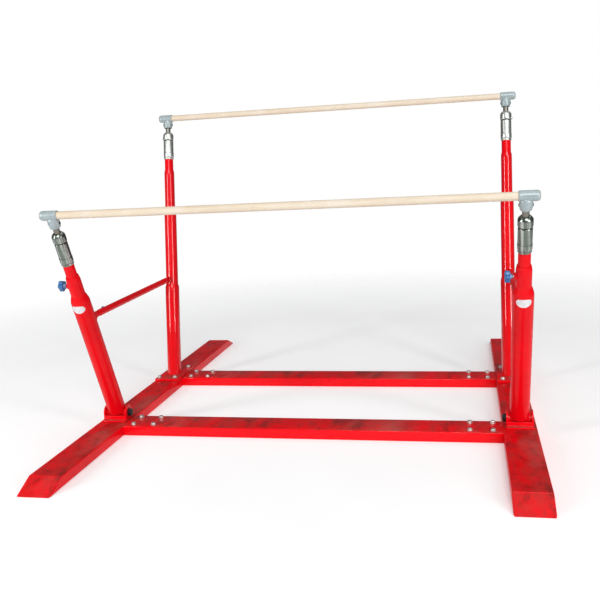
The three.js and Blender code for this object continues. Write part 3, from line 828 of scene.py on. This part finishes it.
def rail_head(level, name, side):
    """The T-shaped casting: a closed socket for the rail, filleted into a cup over the stem."""
    shell = [
        (20.4, -33), (23.6, -33), (25, -31.5), (25, 44), (24.2, 51), (21.5, 57), (16.5, 60.8), (9, 62),
        (0, 62), (0, 53.5), (20.4, 53.5),
    ]
    cup = [
        (22.6, -24), (25.4, -24), (26.6, -22.5), (28.4, -14), (30, 0), (30.2, 16), (30, 24), (27, 29),
        (26, 32), (0, 32), (0, 18), (22.6, 14),
    ]
    bm = bmesh.new()
    turned(bm, shell, 80, along_x(0, 0, RAIL_RISE, flip=side < 0), closed=True)
    turned(bm, cup, 80, closed=True)
    for sign in (-1, 1):
        turned(bm, [(0, 24), (9.5, 24), (9.5, 30.2), (0, 30.2)], 32, along_x(flip=sign < 0))
    casting = finish_mesh(
        f"{level}_head_casting_{name}", bm, head_matrix(level, side), GREY, f"{level}_bar",
        [f"{level}_head_{name}"], 40,
    )
    cast(casting, 0.0011, 6)
    return casting


def head_pin(level, name, side):
    """The pin that the head tilts on, with a flat hexagon head at each end."""
    bm = bmesh.new()
    turned(bm, [(0, -30), (6, -30), (6, 30), (0, 30)], 24, along_x())
    for flip in (False, True):
        hex_head(bm, 8.5, 29.5, 32.5, along_x(flip=flip))
    return finish_mesh(
        f"{level}_pin_{name}", bm, head_matrix(level, side), BLACK, f"{level}_bar",
        [f"{level}_head_pin_{name}"], 30,
    )


def rail(level):
    """A plain round rail whose ends run into the heads."""
    low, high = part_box(f"{level}_rail")
    half = (high.x - low.x) / 2 / MM
    radius = (high.z - low.z) / 2 / MM
    stations = [-half + 2 * half * i / 60 for i in range(61)]
    bm = bmesh.new()
    turned(bm, [(0, -half)] + [(radius, s) for s in stations] + [(0, half)], 64, along_x())
    centre = (low + high) / 2
    return finish_mesh(
        f"{level}_rail_wood", bm, Matrix.Translation(centre), WOOD, f"{level}_bar",
        [f"{level}_rail"],
    )


# ---- struts and knobs -----------------------------------------------------

def strut_matrix(name):
    """Z runs down the strut from its pin on the high post."""
    pin = JOINTS[f"strut_{name}_swing"]["pos_m"]
    axis = JOINTS[f"strut_{name}_length"]["axis"]
    turn = Matrix.Rotation(math.atan2(-axis[1], axis[2]), 4, "X")
    return Matrix.Translation(pin) @ turn


def strut_length(name):
    """Millimetres between the strut's two pins."""
    pin = Vector(JOINTS[f"strut_{name}_swing"]["pos_m"])
    return (Vector((pin.x, STRUT_LOW.y, STRUT_LOW.z)) - pin).length / MM


def eye(bm, height, hole, neck):
    """A flat drilled eye at a height, whose neck ends that far above it, or below it when negative."""
    half = STRUT["eye_half"]
    radius = STRUT["eye"]
    profile = rounded([(hole, -half), (radius, -half), (radius, half), (hole, half)], 0.8, 2)
    turned(bm, profile, 40, along_x(0, 0, height), closed=True)
    low, high = sorted((height + math.copysign(hole + 2, neck), height + neck))
    block(bm, (-half, -15, low), (half, 15, high), 1.0)


def strut_tube(name):
    """The painted outer tube: a plugged end with an eye at the top, a boss for the locking screw below."""
    radius, bore, end = STRUT["radius"], STRUT["bore"], STRUT["tube_end"]
    bm = bmesh.new()
    turned(bm, [(radius, 40), (radius, end), (bore, end), (bore, 43)], 56, closed=True)
    turned(bm, rounded([(0, 43.9), (radius, 43.9), (radius, 34), (14, 26), (0, 26)], 2, 3), 56)
    boss = rounded([(4.3, 17.5), (9, 15), (9, 22), (4.3, 22)], 0.8, 2)
    turned(bm, boss, 32, along_x(0, 0, STRUT_KNOB_ALONG, flip=True), closed=True)
    eye(bm, 0, 7.3, 30)
    return finish_mesh(
        f"strut_outer_{name}", bm, strut_matrix(name), RED, f"strut_tube_{name}",
        [f"strut_tube_{name}"],
    )


def strut_rod(name):
    """The rod that slides in the tube; its eye is larger than the low post's pin."""
    length = strut_length(name)
    radius, start, end = STRUT["rod"], STRUT["rod_start"], length - 28
    bm = bmesh.new()
    turned(bm, rounded([(0, start), (radius, start), (radius, end), (0, end)], 3, 3), 56)
    eye(bm, length, 11, -32)
    return finish_mesh(
        f"strut_inner_{name}", bm, strut_matrix(name), RED, f"strut_rod_{name}",
        [f"strut_rod_{name}"],
    )


def strut_pin(name, side, level):
    """A painted-over pin through the lugs, with a hexagon head on the +X side."""
    if level == "high":
        matrix = strut_matrix(name)
        body = "base"
    else:
        matrix = Matrix.Translation((side * POST_X, STRUT_LOW.y, STRUT_LOW.z))
        body = "low_posts"
    bm = bmesh.new()
    turned(bm, rounded([(0, -21), (7, -21), (7, 15), (0, 15)], 0.8, 2), 28, along_x())
    hex_head(bm, 12, 14.4, 20.8, along_x())
    return finish_mesh(
        f"strut_pin_{level}_{name}", bm, matrix, RED, body, [f"strut_{level}_pin_{name}"], 30,
    )


def star_reach(radius, angle):
    """Five lobes round a knob."""
    return radius * (0.9 + 0.1 * math.cos(5 * angle))


def ribbed_reach(radius, angle):
    """Eight shallow ribs round a knob."""
    return radius * (0.97 + 0.03 * math.cos(8 * angle))


def star_knob(name, side):
    """A five-lobed grip with its hub, whose lighter blue is a painted highlight, and the stud that they are
    screwed on.
    """
    grip = rounded([(0, 62), (26, 62), (30, 65.5), (30, 84), (26, 88.2), (11, 88.4), (0, 87)], 2.5, 4)
    bm = bmesh.new()
    turned(bm, grip, 80, along_x(flip=True), reach=star_reach)
    matrix = leaning(side * POST_X, LOW_PIVOT, LOW_AXIS) @ Matrix.Translation((0, 0, CLAMP_HEIGHT * MM))
    body = f"clamp_knob_{name}"
    finish_mesh(f"clamp_grip_{name}", bm, matrix, BLUE, body, [f"clamp_knob_{name}"])
    cone = rounded([(5.3, 50), (9, 50), (10.5, 53), (15.5, 62.5), (5.3, 62.5)], 1.2, 3)
    hub = bmesh.new()
    turned(hub, cone, 48, along_x(flip=True), closed=True)
    # The hub's lighter blue is a painted highlight.
    finish_mesh(f"clamp_hub_{name}", hub, matrix, BLUE_LIT, body)
    stud = bmesh.new()
    turned(stud, rounded([(0, 29.6), (5, 29.6), (5, 80), (0, 80)], 0.8, 2), 28, along_x(flip=True))
    finish_mesh(
        f"clamp_stud_rod_{name}", stud, matrix, ZINC, f"clamp_stud_{name}",
        [f"clamp_stud_{name}"],
    )


def strut_knob(name):
    """The small ribbed grip on the screw that locks the strut."""
    profile = rounded([(0, 23), (9, 23), (13, 27), (13, 37), (9, 41), (0, 41)], 2, 3)
    bm = bmesh.new()
    turned(bm, profile, 64, along_x(flip=True), reach=ribbed_reach)
    turned(bm, [(0, 17.3), (4, 17.3), (4, 26), (0, 26)], 20, along_x(flip=True))
    matrix = strut_matrix(name) @ Matrix.Translation((0, 0, STRUT_KNOB_ALONG * MM))
    # The grip's darker blue is painted shade.
    return finish_mesh(
        f"strut_grip_{name}", bm, matrix, BLUE_SHADED, f"strut_knob_{name}", [f"strut_knob_{name}"],
    )


def sticker(name, side):
    """A blank white oval wrapped on the front of the low post's tube, flat across its top."""
    radius, half_width, half_height = STICKER["radius"], STICKER["half_width"], STICKER["half_height"]
    rings, steps = 8, 48
    bm = bmesh.new()

    def wrapped(u, v):
        """A vertex on the tube's front, u across and v up from the sticker's middle."""
        angle = u / radius - math.pi / 2
        return bm.verts.new((radius * math.cos(angle), radius * math.sin(angle), STICKER["height"] + v))

    centre = wrapped(0, 0)
    previous = None
    for r in range(1, rings + 1):
        share = r / rings
        current = []
        for i in range(steps):
            angle = 2 * math.pi * i / steps
            v = min(half_height * math.sin(angle), half_height * (0.45 + 0.35 * math.sin(angle)))
            current.append(wrapped(share * half_width * math.cos(angle), share * v))
        if previous is None:
            for i in range(steps):
                bm.faces.new((centre, current[i], current[(i + 1) % steps]))
        else:
            bridge(bm, previous, current)
        previous = current
    matrix = leaning(side * POST_X, LOW_PIVOT, LOW_AXIS)
    return finish_mesh(f"sticker_{name}", bm, matrix, FILM, "low_posts")


# ---- stage ----------------------------------------------------------------

CAMERA = {
    "place": (0.8780, -4.6848, 1.5112), "yaw": 0.21198, "pitch": -0.17876, "roll": -0.05446,
    "lens": 47.17, "sensor": 36.0,
}
FLOOR_REACH = 8
FLOOR_DROP = 0.0005


def camera():
    """The camera, turned from yaw, pitch and roll in radians."""
    data = bpy.data.cameras.new("camera")
    data.type = "PERSP"
    data.sensor_width = CAMERA["sensor"]
    data.lens = CAMERA["lens"]
    data.clip_end = 100
    cam = bpy.data.objects.new("camera", data)
    bpy.context.scene.collection.objects.link(cam)
    yaw, pitch, roll = CAMERA["yaw"], CAMERA["pitch"], CAMERA["roll"]
    forward = Vector((-math.sin(yaw) * math.cos(pitch), math.cos(yaw) * math.cos(pitch), math.sin(pitch)))
    level_right = Vector((math.cos(yaw), math.sin(yaw), 0))
    level_up = level_right.cross(forward)
    right = level_right * math.cos(roll) + level_up * math.sin(roll)
    up = level_up * math.cos(roll) - level_right * math.sin(roll)
    matrix = Matrix((right, up, -forward)).transposed().to_4x4()
    matrix.translation = CAMERA["place"]
    cam.matrix_world = matrix
    bpy.context.scene.camera = cam


def soft_sun(name, place, spread, strength):
    """A distant soft light shining from a direction, with its spread in degrees."""
    data = bpy.data.lights.new(name, "SUN")
    data.angle = math.radians(spread)
    data.energy = strength
    light = bpy.data.objects.new(name, data)
    light.location = place
    light.rotation_euler = Vector(place).to_track_quat("Z", "Y").to_euler()
    bpy.context.scene.collection.objects.link(light)


def panel(name, place, aim, size, power):
    """A tall soft light at one side of the frame; the pair draws the upright highlights on the posts."""
    data = bpy.data.lights.new(name, "AREA")
    data.shape = "RECTANGLE"
    data.size, data.size_y = size
    data.energy = power
    light = bpy.data.objects.new(name, data)
    light.location = place
    light.rotation_euler = (Vector(place) - Vector(aim)).to_track_quat("Z", "Y").to_euler()
    bpy.context.scene.collection.objects.link(light)


def studio_world():
    """Faint cool light all round, seen by the camera as plain white."""
    scene = bpy.context.scene
    scene.view_settings.view_transform = "Standard"
    world = bpy.data.worlds.new("studio")
    world.use_nodes = True
    scene.world = world
    tree = world.node_tree
    soft = tree.nodes["Background"]
    soft.inputs["Color"].default_value = (0.93, 0.96, 1.0, 1)
    soft.inputs["Strength"].default_value = 0.12
    seen = tree.nodes.new("ShaderNodeBackground")
    seen.inputs["Color"].default_value = (1, 1, 1, 1)
    seen.inputs["Strength"].default_value = 1.0
    rays = tree.nodes.new("ShaderNodeLightPath")
    mix = tree.nodes.new("ShaderNodeMixShader")
    tree.links.new(rays.outputs["Is Camera Ray"], mix.inputs["Fac"])
    tree.links.new(soft.outputs[0], mix.inputs[1])
    tree.links.new(seen.outputs[0], mix.inputs[2])
    tree.links.new(mix.outputs[0], tree.nodes["World Output"].inputs["Surface"])


def studio_lights():
    """A soft key and sky light, and the two panels."""
    soft_sun("key", (0.6, -3.2, 2.2), 30, 1.7)
    soft_sun("sky", (0.4, 0.8, 4.0), 70, 0.75)
    panel("panel_left", (-4.4, -4.0, 2.1), (-1.1, -0.4, 0.9), (0.8, 2.6), 125)
    panel("panel_right", (4.6, -4.2, 2.1), (1.1, -0.4, 0.9), (0.8, 2.6), 125)


def studio_floor():
    """A large plain floor just under the base."""
    bm = bmesh.new()
    bmesh.ops.create_grid(bm, x_segments=1, y_segments=1, size=FLOOR_REACH)
    mesh = bpy.data.meshes.new("floor")
    bm.to_mesh(mesh)
    bm.free()
    mesh.materials.append(floor_finish())
    floor = bpy.data.objects.new("floor", mesh)
    floor.location.z = -FLOOR_DROP
    bpy.context.scene.collection.objects.link(floor)


# ---- assembly -------------------------------------------------------------

camera()
for name, side in SIDES:
    side_base(name, side)
    high_post(name, side)
    low_post(name, side)
    low_foot(name, side)
    hinge_pin(name, side)
    for level in LEVELS:
        inner_tube(level, name, side)
    plate_top = BASE_TOP + (PLATE_THICKNESS + 2 * GAP) * MM
    bolt_set(f"post_bolts_{name}", f"high_post_bolts_{name}", BOLT_SPACING["post"], plate_top)
    for end in BEAMS:
        bolt_set(f"bolts_{end}_{name}", f"beam_bolts_{end}_{name}", BOLT_SPACING["beam"], BEAM_TOP + GAP * MM)
    for level in LEVELS:
        sleeve(level, name, side)
        # the black ring in each sleeve's groove is painted shade
        painted_groove_shade(level, name, side)
        stem(level, name, side)
        rail_head(level, name, side)
        head_pin(level, name, side)
        strut_pin(name, side, level)
    strut_tube(name)
    strut_rod(name)
    star_knob(name, side)
    strut_knob(name)
    sticker(name, side)
for end in BEAMS:
    crossbeam(end)
for level in LEVELS:
    rail(level)
studio_world()
studio_lights()
studio_floor()
